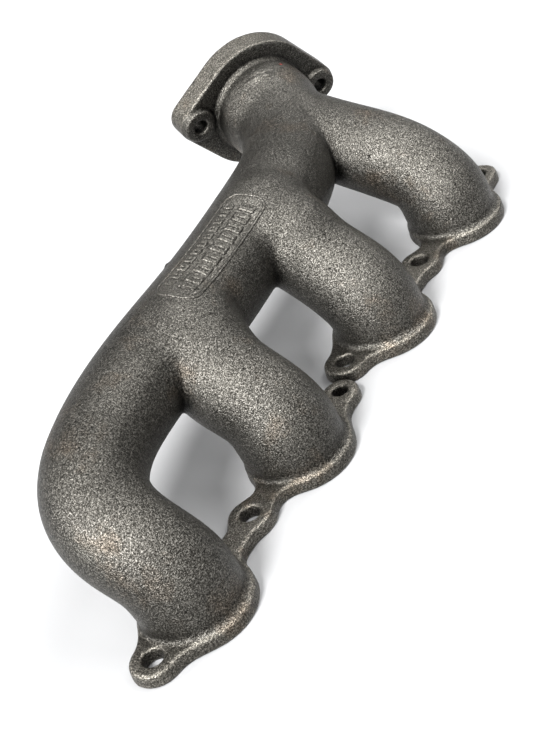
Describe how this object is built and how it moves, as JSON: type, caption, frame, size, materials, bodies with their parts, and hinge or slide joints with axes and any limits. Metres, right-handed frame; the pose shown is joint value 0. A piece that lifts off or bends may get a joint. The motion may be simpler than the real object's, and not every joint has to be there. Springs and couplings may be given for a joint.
{
  "type": "exhaust manifold",
  "caption": "Cast iron log-style exhaust manifold: upright runners from two split head flanges join a round collector that ends in a tilted two-bolt outlet flange.",
  "frame": {"origin": "centre of the row of head bolts, on the machined head face", "axes": "+X along the row of ports towards the outlet end, +Y from the ports towards the collector, +Z away from the cylinder head"},
  "size_m": [0.4761, 0.213, 0.1273],
  "materials": {
    "cast_iron": "as sand cast, dark grey, unpainted, with a fine even grain"
  },
  "bodies": {
    "root": {"badge_pad": "cast_iron", "collector_at_runner_2": "cast_iron", "collector_at_runner_3": "cast_iron", "collector_at_runner_4": "cast_iron", "collector_end_bend": "cast_iron", "lug_port_1": "cast_iron", "lug_port_2": "cast_iron", "lug_port_3": "cast_iron", "lug_port_4": "cast_iron", "outlet_boss_inner": "cast_iron", "outlet_boss_outer": "cast_iron", "outlet_flange": "cast_iron", "outlet_neck": "cast_iron", "port_flange_1": "cast_iron", "port_flange_2": "cast_iron", "port_flange_3": "cast_iron", "port_flange_4": "cast_iron", "runner_1": "cast_iron", "runner_2": "cast_iron", "runner_3": "cast_iron", "runner_4": "cast_iron", "web_ports_1_2": "cast_iron", "web_ports_3_4": "cast_iron"}
  },
  "joints": []
}
